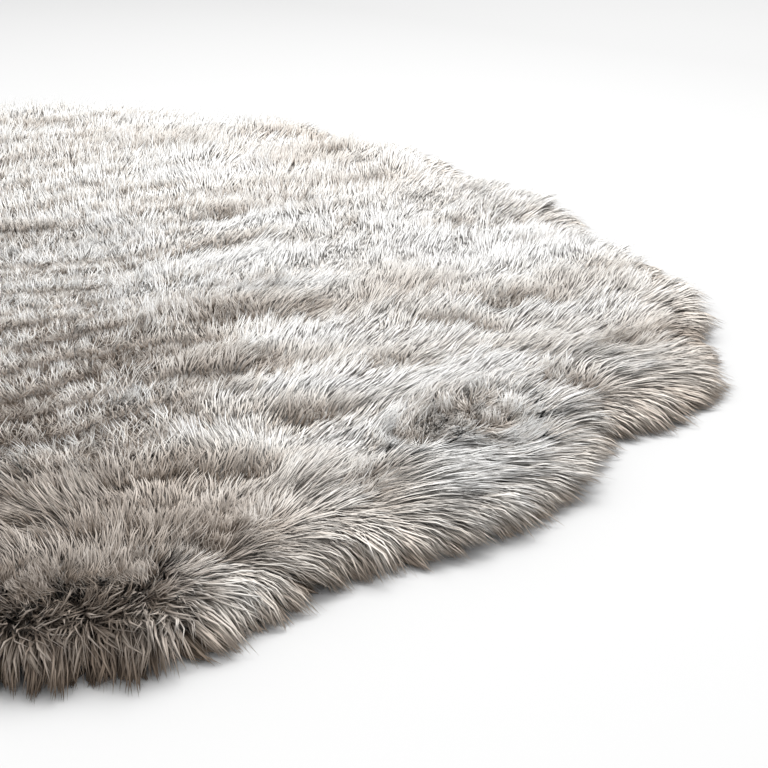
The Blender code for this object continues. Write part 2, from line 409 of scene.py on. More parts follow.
# Places where the pile stands up in a whorl or a row of curly tufts
tufts = {
    "rows": [  # x, y, radius, strength, and how much of it is a whorl
        (-0.08, -0.865, 0.034, 1.0, 0.1), (-0.03, -0.872, 0.034, 1.0, 0.1),
        (0.02, -0.872, 0.034, 1.0, 0.1), (0.06, -0.862, 0.030, 1.0, 0.1), (0.14, -0.775, 0.030, 0.8, 0.1),
        (0.43, -0.590, 0.050, 1.0, 1.0), (0.33, -0.625, 0.028, 0.8, 0.6), (0.19, -0.330, 0.035, 0.8, 0.5),
        (0.24, -0.150, 0.050, 0.6, 0.5), (0.29, -0.130, 0.035, 0.6, 0.5), (-0.31, -0.630, 0.035, 0.8, 0.7),
        (-0.46, -0.540, 0.040, 0.8, 0.7), (-0.25, -0.200, 0.045, 0.7, 0.7),
    ],
    "clearOfRim": (0.036, 0.058),  # from the outline: where they start, and are full
    "turn": 1.1,  # how far round its middle a whorl's pile leans
    "lean": 0.75,
    "standing": 0.65,  # how much of the comb goes
    "parting": 0.5,  # how deep a whorl's middle is, as a hollow
    "mound": 0.009,  # how much the under-pile rises below the curls
    "shortening": 0.30,
    "moreStrands": 2.6,
    "paintedUnderShade": 0.10,  # painted shade: how much darker the under-pile is in the gaps between the curls
}

# Ripples across the middle, where the pile leans more and less by turns, with painted shade in the troughs
# and painted light on the crests
ripples = {
    "spacing": 0.056,
    "angle": 12.0,
    "bends": [(0.018, 8.0), (0.010, 21.0)],
    "slant": 5,  # how much a bend shifts from one ripple to the next
    "reach": (0.24, 0.80),  # they fade out this far from the middle, in X and Y
    "fading": 6,  # how sharply they fade
    "lean": 0.30,
    "shortening": 0.28,
    # painted shade in the troughs and painted light on the crests
    "shade": 0.13,
    "level": 0.5,  # how much paler they are all over, in shares of the wave
    "crest": 0.66,  # how high the wave stands between its troughs, which go down to this less 2
    "narrow": 2.5,  # how narrow the troughs are
}

# The rough part of the middle, and how the pile differs there
roughPile = {
    # It starts at the first value of each pair and is full at the second
    "right": (0.18, 0.05),
    "left": (-0.42, -0.28),
    "front": (-0.70, -0.56),
    "back": (0.18, 0.02),
    "ripples": 0.9,  # how much more the ripples lean it
    "rippleShade": 0.4,  # and how much more their painted shade and light show
    "lie": 0.45,  # how much less flat it lies
    "shortening": 0.40,
    "thinning": 0.2,
    "curl": 0.8,
    "pale": 0.17,
    "paintedUnderShade": 0.35,  # painted shade: how much darker the under-pile is in the gaps of the rough pile
    "moreStrands": 0.5,
}
# Hollows, where the pile parts and shows its dark roots, and where it is painted darker as a painted shade:
# x, y, the line's direction in degrees, half its length, and how strong it is
hollows = {
    "rows": [
        (0.13, -0.055, 5, 0.05, 0.9), (0.16, -0.170, 10, 0.03, 0.7), (0.27, -0.180, 30, 0.03, 0.9),
        (0.32, -0.220, 50, 0.03, 0.8), (0.11, -0.345, 12, 0.09, 1.0), (0.21, -0.260, 20, 0.04, 0.8),
        (0.23, -0.380, 25, 0.03, 0.7), (0.19, -0.435, 14, 0.07, 0.8), (-0.02, 0.120, 8, 0.05, 0.9),
        (0.03, -0.130, 0, 0.04, 0.7), (0.27, 0.245, -5, 0.05, 0.8), (0.34, 0.205, -12, 0.06, 1.0),
        (0.25, 0.140, 0, 0.03, 0.7), (0.43, 0.070, 15, 0.03, 0.6), (0.06, 0.330, 12, 0.05, 0.8),
        (0.16, 0.380, 0, 0.02, 0.7), (0.03, 0.700, 5, 0.06, 0.8), (0.15, 0.750, 5, 0.04, 0.7),
        (0.47, 0.430, 10, 0.04, 0.7), (0.51, 0.270, 20, 0.04, 0.8), (0.48, 0.530, 5, 0.03, 0.6),
        (0.56, 0.020, 15, 0.04, 0.9), (0.56, -0.290, -18, 0.06, 1.0), (0.47, -0.340, -40, 0.05, 0.9),
        (0.37, -0.445, 30, 0.03, 1.0), (0.54, -0.530, -25, 0.03, 0.9), (0.64, -0.430, 20, 0.05, 0.7),
        (0.73, -0.380, 45, 0.03, 0.7), (0.35, -0.620, 20, 0.03, 1.0), (0.28, -0.710, 40, 0.04, 0.8),
        (0.26, -0.550, 0, 0.04, 0.9), (0.14, -0.665, -8, 0.05, 0.6), (0.12, -0.505, -50, 0.03, 0.7),
        (-0.03, -0.470, 15, 0.05, 0.4), (-0.03, -0.550, 15, 0.05, 0.5), (0.12, -0.810, 50, 0.03, 0.5),
        (0.48, -0.100, 20, 0.03, 0.5), (0.66, -0.070, 0, 0.04, 0.5), (0.73, -0.210, -10, 0.05, 0.6),
    ],
    "width": 0.015,
    "lean": (0.20, 0.60),  # how much more the near side leans, and how much less the far side
    "shortening": 0.40,
    "dip": 0.009,
}

# Patches of painted light and shade, where the pile is painted paler or darker than elsewhere: x, y,
# radius, how much
paintedLightAndShade = [
    (0.30, -0.05, 0.10, 0.12), (0.22, 0.40, 0.12, 0.10), (0.55, -0.235, 0.05, 0.12),
    (0.38, -0.70, 0.07, 0.02), (0.17, -0.57, 0.05, 0.08), (0.12, -0.87, 0.05, 0.34),
    (0.45, -0.45, 0.06, 0.10), (0.62, -0.33, 0.06, 0.08), (-0.30, -0.70, 0.08, 0.10),
    (-0.52, -0.30, 0.10, 0.10), (0.73, -0.45, 0.05, -0.02), (0.05, -0.35, 0.15, -0.05),
    (0.28, -0.24, 0.05, -0.08), (0.42, -0.22, 0.07, -0.12), (0.60, -0.295, 0.05, -0.10),
    (0.72, -0.18, 0.06, -0.08), (0.24, -0.55, 0.04, -0.10), (0.43, -0.60, 0.05, 0.10),
    (0.43, -0.60, 0.02, -0.20), (0.50, -0.60, 0.05, 0.08), (0.24, -0.83, 0.035, -0.16),
    (0.02, -0.90, 0.04, -0.05), (0.02, -0.51, 0.09, -0.06), (0.35, -0.80, 0.07, -0.04),
    (0.68, -0.26, 0.08, -0.16), (0.66, 0.08, 0.10, -0.02), (0.45, 0.46, 0.14, -0.14),
    (0.21, -0.04, 0.06, 0.12),
]

# How pale the pile is otherwise; most entries paint light or shade into it, as each one notes
paleness = {
    "standing": 0.47,
    "lying": 0.21,  # how much more where it lies flat: partly painted sheen, partly its pale tips showing
    "frontLeft": 0.43,  # painted shade: how much less at the front left, which faces away from the light, between these values of X and Y
    "paintedShadeFrontLeftX": (0.30, 0.0),
    "paintedShadeFrontLeftY": (0.0, -0.75),
    # painted shade in the hollows
    "hollows": 0.22,
    "rim": 0.12,  # painted light: more at the rim, on the side lobes' skirts that face away from the light, but not at the front lobe's
    "back": 0.06,  # painted light: more at the back, where the light comes from, between these values of Y
    "backY": (-0.2, 0.7),
    "skirt": (0.07, 0.15),  # painted shade: less near the floor, everywhere, and on top of it at the front
    "paintedSkirtShadeZ": (0.032, 0.010),
    "paintedSkirtShadeY": (0.1, -0.4),
}

# How the pile grows. Of droop, turnsDown and skirtReach, the first value is for the side lobes
# and the second for the front lobe.
pile = {
    "length": 0.060,  # of a lock lying flat, past the under-pile
    "uprightShare": 0.38,  # the same standing up, as a share
    "lyingPower": 1.5,
    "uneven": [(0.14, 13, 3.1), (0.08, 37, 9.7)],  # in length: share, how quickly, seed
    "unevenLean": [(0.10, 11, 5.5)],
    "lie": 1.35,  # how flat it lies against what the comb says
    "tipAhead": 0.6,  # how far along its length the comb bends its tip
    "rootUpright": 0.66,  # how much of its upright start goes where it lies flat
    "rootLie": 0.90,
    "tipRise": 0.50,  # how much its tip rises where it stands
    "tipFall": 0.62,  # and how much less where it lies flat
    "droop": (0.55, 0.90),
    "turnsDown": (0.38, 0.55),  # how much of its way outwards it loses
    "skirtReach": (0.68, 0.62),  # how much of its length a skirt lock covers outwards
    "skirtLength": (0.040, 0.078),  # the shortest and longest at the rim
    "skirtSlant": 1.4,  # the furthest it reaches, in distances from the outline
    "skirtUpright": 0.4,  # share of its length standing up
    "fullFrom": (0.000, 0.024),  # root heights between which skirt locks get their full length
    "lowShare": 0.5,  # share of their length at the lower one
    "partingLie": (0.75, 0.25),  # how flat it lies where a parting in the skirt starts, and is full
    "partingShare": 0.6,  # how many more strands grow there
    "rimShare": 1.30,  # how many times as many strands grow at the rim
    "standingCurl": 0.8,
    "width": 0.0036,
    "rimWidth": 0.0050,
    "hold": (0.25, 0.88),  # how far a lock's strands close up at their tips, in the middle and at the rim
}


def combVectors(places):
    # The combed direction at each place, as long as the pile lies flat there
    rows = list(comb["rows"])
    rows += [(-x, y, 180 - angle, lie) for x, y, angle, lie in rows if x > comb["mirroredFrom"]]
    at = np.array([(x, y) for x, y, _, _ in rows])
    ways = np.array([(math.cos(math.radians(angle)) * lie, math.sin(math.radians(angle)) * lie)
                     for _, _, angle, lie in rows])
    square = ((places[:, None] - at[None]) ** 2).sum(axis=2)
    weights = 1 / (square + comb["radius"] ** 2) ** 2
    return (weights[:, :, None] * ways[None]).sum(axis=1) / weights.sum(axis=1, keepdims=True)


def noiseAt(places, turns, seed):
    return np.array([noise.noise(Vector((x * turns, y * turns, seed))) for x, y in places])


def unevenness(places, rows):
    return sum(size * noiseAt(places, turns, seed) for size, turns, seed in rows)


def rippleWave(places):
    angle = math.radians(ripples["angle"])
    along = places[:, 0] * math.cos(angle) + places[:, 1] * math.sin(angle)
    across = places[:, 1] * math.cos(angle) - places[:, 0] * math.sin(angle)
    bend = sum(size * np.sin(along * turns + across * ripples["slant"])
               for size, turns in ripples["bends"])
    out = np.hypot(places[:, 0] / ripples["reach"][0], places[:, 1] / ripples["reach"][1])
    trough = (1 - np.sin(2 * math.pi * (across + bend) / ripples["spacing"])) / 2
    return (ripples["crest"] - 2 * trough ** ripples["narrow"]) / (1 + out ** ripples["fading"])


def roughness(places):
    x, y = places[:, 0], places[:, 1]
    across = smoothStep(*roughPile["right"], x) * smoothStep(*roughPile["left"], x)
    return across * smoothStep(*roughPile["front"], y) * smoothStep(*roughPile["back"], y)


def hollowFields(places):
    # How deep the hollows are at each place, and how much they change the pile's lean
    dip, lean = np.zeros(len(places)), np.zeros(len(places))
    width = hollows["width"]
    more, less = hollows["lean"]
    mirrored = [(-x, y, -turn, half, size) for x, y, turn, half, size in hollows["rows"]
                if x > comb["mirroredFrom"]]
    for x, y, turn, half, size in hollows["rows"] + mirrored:
        way = np.array((math.cos(math.radians(turn)), math.sin(math.radians(turn))))
        away = places - (x, y)
        along = np.exp(-((away @ way) / half) ** 4) * size
        across = away @ np.array((-way[1], way[0])) / width
        dip = np.maximum(dip, along * np.exp(-across ** 2))
        lean += along * (more * np.exp(-(across + 1) ** 2) - less * np.exp(-(across - 1) ** 2))
    return dip, lean


# Broad bands that lean a little differently, with painted light and shade along them
bands = {
    "turn": -13.0,
    "along": 3.5,  # how often they change, a metre
    "across": 15.0,
    "seed": 2.6,
    "lean": 0.22,
    "shade": 0.24,
}


def turnedBy(vectors, angles):
    return np.column_stack([vectors[:, 0] * np.cos(angles) - vectors[:, 1] * np.sin(angles),
                            vectors[:, 0] * np.sin(angles) + vectors[:, 1] * np.cos(angles)])


def bandWave(places):
    turned = turnedBy(places, np.full(len(places), math.radians(-bands["turn"])))
    return noiseAt(turned * (bands["along"], bands["across"]), 1.0, bands["seed"])


def rimPlaces(places):
    # How far in from the outline each place is, and the way out there
    gaps = np.linalg.norm(places[:, None] - rim[None], axis=2)
    nearest = gaps.argmin(axis=1)
    return gaps[np.arange(len(places)), nearest], rimOut[nearest]


def crossOf(a, b):
    return a[..., 0] * b[..., 1] - a[..., 1] * b[..., 0]


def reachOut(places, ways):
    # How far it is from each place to the outline, the way that its pile leans
    way = unitRows(ways)[:, None]
    step = (np.roll(rim, -1, axis=0) - rim)[None]
    gap = rim[None] - places[:, None]
    turn = crossOf(way, step)
    turn = np.where(np.abs(turn) < 1e-9, 1e-9, turn)
    along = crossOf(gap, step) / turn
    share = crossOf(gap, way) / turn
    hits = (along > 0) & (share >= 0) & (share <= 1)
    return np.where(hits, along, np.inf).min(axis=1)


def combedLean(places, flatter):
    # The comb with its wander and, near the rim, turned outwards
    inset, outward = rimPlaces(places)
    atRim = smoothStep(*comb["rimBand"], inset)
    ways = turnedBy(combVectors(places), np.radians(unevenness(places, comb["wander"])))
    lie = np.clip(np.linalg.norm(ways, axis=1) + flatter, comb["leastLie"], 1.0)
    goes, comes = comb["rimKeeps"]
    ways = unitRows(ways) * (lie * (1 - goes * atRim))[:, None] + outward * (comes * atRim)[:, None]
    return ways, inset, atRim


def byLobe(name, here):
    # The side lobes' value, going over into the front lobe's
    return mix(*pile[name], here.front)


def combHere(here):
    # Which way the pile leans at its roots and, further along, at its tips
    here.rough = roughness(here.places)
    here.wave = rippleWave(here.places) * (1 + roughPile["ripples"] * here.rough)
    here.band = bandWave(here.places)
    here.dip, flatter = hollowFields(here.places)
    flatter = flatter + ripples["lean"] * here.wave + bands["lean"] * here.band
    flatter = flatter + unevenness(here.places, pile["unevenLean"])
    here.lean, here.inset, here.atRim = combedLean(here.places, flatter)
    ahead = here.places + here.lean * pile["length"] * pile["tipAhead"]
    here.tipLean = combedLean(ahead, flatter)[0]


def tuftHere(here):
    # A tuft takes the comb away, and a whorl turns the pile round its middle
    here.curl = np.zeros(len(here.places))
    clear = smoothStep(*tufts["clearOfRim"], here.inset)
    for x, y, radius, strength, whorl in tufts["rows"]:
        near = nearTo(here.places, x, y, radius) * strength * clear
        away = here.places - (x, y)
        around = away + np.column_stack([-away[:, 1], away[:, 0]]) * tufts["turn"]
        for lean in (here.lean, here.tipLean):
            lean *= (1 - tufts["standing"] * near)[:, None]
            lean += around / radius * (near * whorl * tufts["lean"])[:, None]
        here.curl = np.maximum(here.curl, near)
        here.dip = np.maximum(here.dip, tufts["parting"] * near * whorl)


def waysHere(here):
    # The way that a strand sets out from its root, and the way that its tip points
    lie = here.lie[:, None]
    level = np.zeros((len(lie), 1))
    rootLie = np.hstack([unitRows(here.lean) * lie, level])
    tipLie = np.hstack([unitRows(here.tipLean) * lie, level])
    start = unitRows(here.normals * (1 - pile["rootUpright"] * lie) + rootLie * pile["rootLie"])
    rise = pile["tipRise"] - pile["tipFall"] * here.lie - byLobe("droop", here) * here.atRim * here.lie
    outwards = 1 - byLobe("turnsDown", here) * here.atRim
    end = unitRows(tipLie * outwards[:, None] + np.array((0, 0, 1.0)) * rise[:, None])
    return start, end


def lengthsHere(here):
    reach = np.minimum(reachOut(here.places, here.tipLean), here.inset * pile["skirtSlant"])
    skirt = np.clip(reach / byLobe("skirtReach", here), *pile["skirtLength"])
    skirt *= mix(pile["lowShare"], 1, smoothStep(*pile["fullFrom"], here.points[:, 2]))
    skirt *= mix(pile["skirtUpright"], 1, here.lie)
    length = pile["length"] * mix(pile["uprightShare"], 1, here.lie ** pile["lyingPower"])
    for feature, amount in ((ripples, np.maximum(-here.wave, 0)), (roughPile, here.rough),
                            (hollows, here.dip), (tufts, here.curl)):
        length *= 1 - feature["shortening"] * amount
    return mix(length, skirt, here.atRim) * (1 + unevenness(here.places, pile["uneven"]))


# How pale each strand is: the pile's own tone with painted light and shade added
def paleHere(here):
    x, y, z = here.points.T
    # Paler where it lies flat: partly painted sheen, partly its pale tips showing
    pale = paleness["standing"] + paleness["lying"] * here.lie
    # Painted shade at the front left and in the hollows
    frontLeft = smoothStep(*paleness["paintedShadeFrontLeftX"], x) * smoothStep(*paleness["paintedShadeFrontLeftY"], y)
    pale -= paleness["frontLeft"] * frontLeft + paleness["hollows"] * here.dip
    # Paler in the rough part, and painted light on the side lobes' skirts
    pale += roughPile["pale"] * here.rough + paleness["rim"] * (1 - here.front) * here.atRim
    # The ripples and bands, painted paler and darker: painted light and shade
    rows = here.wave * (1 + roughPile["rippleShade"] * here.rough) + ripples["level"] * (1 - here.rough)
    pale += (bands["shade"] * here.band + ripples["shade"] * rows) * (1 - here.atRim)
    # Painted light at the back
    pale += paleness["back"] * smoothStep(*paleness["backY"], y)
    # Painted shade near the floor, more of it at the front
    everywhere, atFront = paleness["skirt"]
    low = smoothStep(*paleness["paintedSkirtShadeZ"], z)
    pale -= (everywhere + atFront * smoothStep(*paleness["paintedSkirtShadeY"], y)) * low
    # Patches of painted light and shade
    for shadeX, shadeY, radius, amount in paintedLightAndShade:
        pale += amount * nearTo(here.places, shadeX, shadeY, radius)
    return pale


def pileFields(points, normals):
    # Works out, for each point of the under-pile, how the pile grows there
    here = SimpleNamespace(points=points, normals=normals, places=points[:, :2])
    here.front = frontLobe(here.places)
    combHere(here)
    tuftHere(here)
    flat = pile["lie"] - roughPile["lie"] * here.rough
    here.lie = np.clip(np.linalg.norm(here.lean, axis=1) * flat, 0.0, 1.0)
    start, end = waysHere(here)
    pale = paleHere(here)
    close = np.maximum(np.maximum(here.atRim, here.curl), here.dip)
    loose = np.maximum(pile["standingCurl"] * (1 - here.lie), roughPile["curl"] * here.rough)
    thin = 1 - roughPile["thinning"] * here.rough
    parting = smoothStep(*pile["partingLie"], here.lie) * here.atRim
    strands = 1 + (pile["rimShare"] - 1) * here.atRim + pile["partingShare"] * parting
    strands += tufts["moreStrands"] * here.curl + roughPile["moreStrands"] * here.rough
    return {
        "inset": here.inset,
        "pale": pale,
        "underPale": pale - tufts["paintedUnderShade"] * here.curl - roughPile["paintedUnderShade"] * here.rough,
        "startWay": start,
        "endWay": end,
        "pileLength": lengthsHere(here),
        "hold": mix(*pile["hold"], close),
        "curl": np.maximum(here.curl, loose * (1 - here.atRim)),
        "girth": pile["width"] * thin + (pile["rimWidth"] - pile["width"]) * here.atRim,
        "pileShare": strands,
    }


# Parts of the rug. A place belongs to the first whose row fits it: in the skirt or not, right of
# the least X and in front of the greatest Y, where 9 is past any place.
zones = {
    "SkirtFront": (True, -0.25, -0.48),
    "SkirtRight": (True, 0.25, 0.45),
    "SkirtBack": (True, -9, 9),
    "Front": (False, -0.25, -0.42),
    "Right": (False, -0.12, 0.18),
    "Back": (False, -0.12, 9),
    "Left": (False, -9, 9),
}
skirtInset = 0.105  # how far in from the outline the skirt reaches

# The pile is made in coats. Broad locks give it its mass, and fine fibres lie over them. At the
# back and the left, one coat does for both. Each row: rings of faces along a strand, strands to
# a square metre, width against the pile's, and the share of the way up where a strand comes out.
coats = {
    ("locks", "SkirtFront"): (2, 52000, 0.84, 0.00),
    ("locks", "SkirtRight"): (2, 50000, 0.80, 0.00),
    ("locks", "SkirtBack"): (1, 22000, 1.15, 0.00),
    ("locks", "Front"): (2, 33000, 0.85, 0.00),
    ("locks", "Right"): (1, 37000, 0.75, 0.00),
    ("fibres", "SkirtFront"): (1, 56000, 0.34, 0.12),
    ("fibres", "SkirtRight"): (1, 56000, 0.38, 0.12),
    ("fibres", "SkirtBack"): (1, 12000, 0.35, 0.25),
    ("fibres", "Front"): (1, 60000, 0.38, 0.25),
    ("fibres", "Right"): (1, 37000, 0.42, 0.25),
    ("fibres", "Back"): (1, 46000, 0.66, 0.00),
    ("fibres", "Left"): (1, 18000, 0.90, 0.00),
}


def zoneOf(x, y, inset):
    inSkirt = inset < skirtInset
    return next(i for i, (skirt, leastX, greatestY) in enumerate(zones.values())
                if skirt == inSkirt and x > leastX and y < greatestY)


def fieldsOf(mesh):
    count = len(mesh.vertices)
    points, normals = np.zeros(count * 3), np.zeros(count * 3)
    mesh.vertices.foreach_get("co", points)
    mesh.vertices.foreach_get("normal", normals)
    return pileFields(points.reshape(-1, 3), normals.reshape(-1, 3))


def addField(mesh, name, values):
    kind, key = ("FLOAT_VECTOR", "vector") if values.ndim == 2 else ("FLOAT", "value")
    mesh.attributes.new(name, kind, "POINT").data.foreach_set(key, values.ravel())


def fillGrower(mesh):
    fields = fieldsOf(mesh)
    for name, values in fields.items():
        addField(mesh, name, values)
    zone = []
    for face in mesh.polygons:
        x, y, z = face.center
        inset = fields["inset"][list(face.vertices)].mean()
        underside = face.normal.z < -0.5 or z < underPile["foot"] + 0.001
        zone.append(-1 if underside else zoneOf(x, y, inset))  # nothing grows underneath
    mesh.attributes.new("zone", "INT", "FACE").data.foreach_set("value", zone)


underMesh = makeUnderPile(underPile["rings"])
addField(underMesh, "underPale", fieldsOf(underMesh)["underPale"])
print("under-pile", len(underMesh.polygons), "faces")
grower = makeUnderPile(underPile["growingRings"])
fillGrower(grower)
print("comb worked out at", len(grower.vertices), "points")


# How a strand is shaped. In a pair, the second value comes on top: where the pile curls, unless
# the note says otherwise.
strand = {
    "foot": 0.30,  # share of it below its first ring
    "flatness": 0.40,
    "lowest": 0.0012,  # above the floor
    "highest": 0.0638,
    "inputs": ("flatness", "lowest", "highest", "lockSpacing", "wispSpacing"),  # of its tree
    "lockSpacing": 0.0105,
    "wispSpacing": 0.034,
    "placesTried": 1.6,  # in every square of that spacing
    "wispStray": (0.06, 0.28),  # how far a wisp strays from the comb, and more where locks close up
    "lockStray": 0.06,
    "lockTipStray": (0.13, 0.8),
    "stray": (0.05, 0.40),
    "tipStray": (0.10, 0.65),
    "sideStray": 0.05,
    "lengthStray": (0.12, 0.13),  # with its lock, and on its own
    "widthStray": 0.3,
    "closing": 1.3,  # the higher, the later a lock closes up
    "wave": (0.0020, 0.006),
    "waveTurns": 6.0,
    "waveStart": (3.1, 0.8),  # with its lock, and on its own
    "belly": (0.8, 0.7),  # its width at the root, and on top at the tip, before it tapers
    "taper": 1.5,
    "lateReach": 0.12,  # how much further a strand that comes out late reaches
    "lateLift": (0.003, 0.008),  # how far it lies above the locks, and more at its root
    "plainShade": 0.7,  # how much less it shades as a coat where it curls
    "tone": 0.22,  # how much its own tone shows where it curls
    "darkRoot": 0.75,  # how much darker its root is there
    "palerTip": 0.4,  # how much sooner it gets as pale as its tip there
    "fibres": 1300,  # streaks to a metre of its width
    "seeds": {"locks": 7, "wisps": 9, "lockChance": 3, "wispChance": 4, "strandChance": 5, "roots": 20},
}


def grown(pair, amount):
    everywhere, more = pair
    return amount * more + everywhere


def pileInputs(graph):
    sockets = graph.tree.interface
    sockets.new_socket("Geometry", in_out="INPUT", socket_type="NodeSocketGeometry")
    kinds = dict.fromkeys(("zone", "rings", "seed"), "Int")
    kinds.update(dict.fromkeys(("density", "width", "comesOut") + strand["inputs"], "Float"))
    keys = {name: sockets.new_socket(name, in_out="INPUT", socket_type="NodeSocket" + kind).identifier
            for name, kind in kinds.items()}
    sockets.new_socket("Geometry", in_out="OUTPUT", socket_type="NodeSocketGeometry")
    entry = graph.tree.nodes.new("NodeGroupInput")
    return {socket.name: Wire(graph, socket) for socket in entry.outputs}, keys


def scatterRoots(graph, given):
    # Locks, and wisps of several locks, each have one place, evenly apart, and chances of their
    # own. Every strand keeps those of the nearest lock and wisp.
    seeds = strand["seeds"]
    position = graph.add("GeometryNodeInputPosition")

    def evenPlaces(spacing, seed):
        return graph.add("GeometryNodeDistributePointsOnFaces", {"distribute_method": "POISSON"},
                         {"Mesh": given["Geometry"], "Distance Min": spacing,
                          "Density Max": strand["placesTried"] / (spacing * spacing), "Seed": seed})

    def chances(name):
        return graph.add("FunctionNodeRandomValue", {"data_type": "FLOAT_VECTOR"},
                         {"Min": (-1, -1, -1), "Max": (1, 1, 1), "Seed": seeds[name]})

    def ofNearest(geometry, value):
        near = graph.add("GeometryNodeSampleNearest", {"domain": "POINT"},
                         {"Geometry": geometry, "Sample Position": position})
        return graph.add("GeometryNodeSampleIndex", {"data_type": "FLOAT_VECTOR", "domain": "POINT"},
                         {"Geometry": geometry, "Value": value, "Index": near})

    locks = evenPlaces(given["lockSpacing"], seeds["locks"])
    wisps = evenPlaces(given["wispSpacing"], seeds["wisps"])
    inZone = 1 - (given["zone"] - graph.field("zone", "INT")).absolute().atMost(1.0)
    density = given["density"] * graph.field("pileShare") * inZone
    roots = graph.add("GeometryNodeDistributePointsOnFaces", {"distribute_method": "RANDOM"},
                      {"Mesh": given["Geometry"], "Density": density, "Seed": given["seed"]})
    kept = {
        "lockShift": ofNearest(locks, position) - position,
        "lockChance": ofNearest(locks, chances("lockChance")),
        "wispChance": ofNearest(wisps, chances("wispChance")),
        "strandChance": chances("strandChance"),
        "root": position,
    }
    for name, value in kept.items():
        roots = graph.store(roots, name, value)
    return roots


def spindlePart(graph, topRadius, bottomRadius, rings, low, high):
    cone = graph.add("GeometryNodeMeshCone", {"fill_type": "NONE"},
                     {"Vertices": 3, "Side Segments": rings, "Radius Top": topRadius,
                      "Radius Bottom": bottomRadius, "Depth": high - low})
    uv = Wire(graph, cone.socket.node.outputs["UV Map"])
    part = graph.add("GeometryNodeStoreNamedAttribute", {"data_type": "FLOAT2", "domain": "CORNER"},
                     {"Geometry": cone, "Name": "strandUV", "Value": uv})
    return graph.add("GeometryNodeTransform", sockets={"Geometry": part, "Translation": (0, 0, low)})


def standSpindles(graph, given, roots):
    # A slim three-sided spindle on each root: its foot, and its rings up to the tip
    shaft = spindlePart(graph, 0.0, 1.0, given["rings"], strand["foot"], 1.0)
    foot = spindlePart(graph, 1.0, 0.0, 1, 0.0, strand["foot"])
    spindle = graph.add("GeometryNodeJoinGeometry", sockets={0: shaft})
    graph.give(spindle.socket.node.inputs[0], foot)
    spindle = graph.add("GeometryNodeMergeByDistance", sockets={"Geometry": spindle, "Distance": 0.001})
    spindle = graph.store(spindle, "shape", graph.add("GeometryNodeInputPosition"))
    strands = graph.add("GeometryNodeInstanceOnPoints", sockets={"Points": roots, "Instance": spindle})
    return graph.add("GeometryNodeRealizeInstances", sockets={"Geometry": strands})


def bendStrands(graph, given, strands):
    # Each point's new place, along the comb and closing up with its lock at the tip, and what the
    # material needs
    shapeX, shapeY, share = graph.vectorField("shape").split()
    aroundX, aroundY, _ = graph.vector(shapeX, shapeY).unit().split()
    begin = given["comesOut"]
    t = begin + (1 + begin * strand["lateReach"] - begin) * share
    wispChance = graph.vectorField("wispChance")
    lockChance = graph.vectorField("lockChance")
    strandChance = graph.vectorField("strandChance")
    lockX, lockY, lockZ = lockChance.split()
    strandX, strandY, strandZ = strandChance.split()
    curl = graph.field("curl")
    hold = graph.field("hold")

    wispChance = wispChance * grown(strand["wispStray"], hold)
    start = graph.vectorField("startWay") + wispChance + lockChance * strand["lockStray"]
    start = (start + strandChance * grown(strand["stray"], curl)).unit()
    end = graph.vectorField("endWay") + wispChance + strandChance * grown(strand["tipStray"], curl)
    end = (end + lockChance * grown(strand["lockTipStray"], curl)).unit()
    withLock, alone = strand["lengthStray"]
    length = graph.field("pileLength") * (1 + lockX * withLock + strandX * alone)
    half = t * t * 0.5
    path = (start * (t - half) + end * half) * length
    shift = graph.vectorField("lockShift") * (hold * t ** strand["closing"])

    side = (start + strandChance * strand["sideStray"]).cross(end).unit()
    ridge = (start * (1 - t) + end * t).unit().cross(side)
    withLock, alone = strand["waveStart"]
    wave = (t * strand["waveTurns"] + lockY * withLock + strandY * alone).sine()
    wave = wave * t * grown(strand["wave"], curl)
    wide = given["width"] * graph.field("girth") * (1 + strandZ * strand["widthStray"]) * 0.5
    body = wide * (1 - share ** strand["taper"]) * grown(strand["belly"], share)
    lift, rootLift = strand["lateLift"]
    place = graph.vectorField("root") + path + shift + side * wave
    place = place + ridge * (begin * (1 - share) * rootLift + begin * lift)
    place = place + ridge * (aroundX * body * given["flatness"]) - side * (aroundY * body)
    x, y, z = place.split()
    lowest = given["lowest"] + body * (aroundX + 1)
    place = graph.vector(x, y, z.atMost(given["highest"] + body * aroundX).atLeast(lowest))
    strands = graph.add("GeometryNodeSetPosition", sockets={"Geometry": strands, "Position": place})

    tone = lockZ * 0.5 + strandX * 0.5
    darkRoot = (1 - t) * (1 - t).atLeast(0.0) * strand["darkRoot"]
    _, _, upness = ridge.split()
    carried = {
        "strandNormal": ridge * (upness.sign() * (1 - curl * strand["plainShade"])),
        "strandTone": tone,
        "strandPale": graph.field("pale") + (tone * strand["tone"] - darkRoot) * curl,
        "strandShare": t * (curl * strand["palerTip"] + 1),
        "strandFibres": wide * strand["fibres"],
    }
    for name, value in carried.items():
        strands = graph.store(strands, name, value)
    return strands


def buildPileTree(material):
    # One tree grows every coat, each with its own values
    graph = Graph(bpy.data.node_groups.new("growPile", "GeometryNodeTree"))
    given, keys = pileInputs(graph)
    strands = bendStrands(graph, given, standSpindles(graph, given, scatterRoots(graph, given)))
    strands = graph.add("GeometryNodeSetShadeSmooth", sockets={"Geometry": strands, "Shade Smooth": True})
    strands = graph.add("GeometryNodeSetMaterial", sockets={"Geometry": strands, "Material": material})
    leave = graph.tree.nodes.new("NodeGroupOutput")
    graph.give(leave.inputs[0], strands)
    return graph.tree, keys


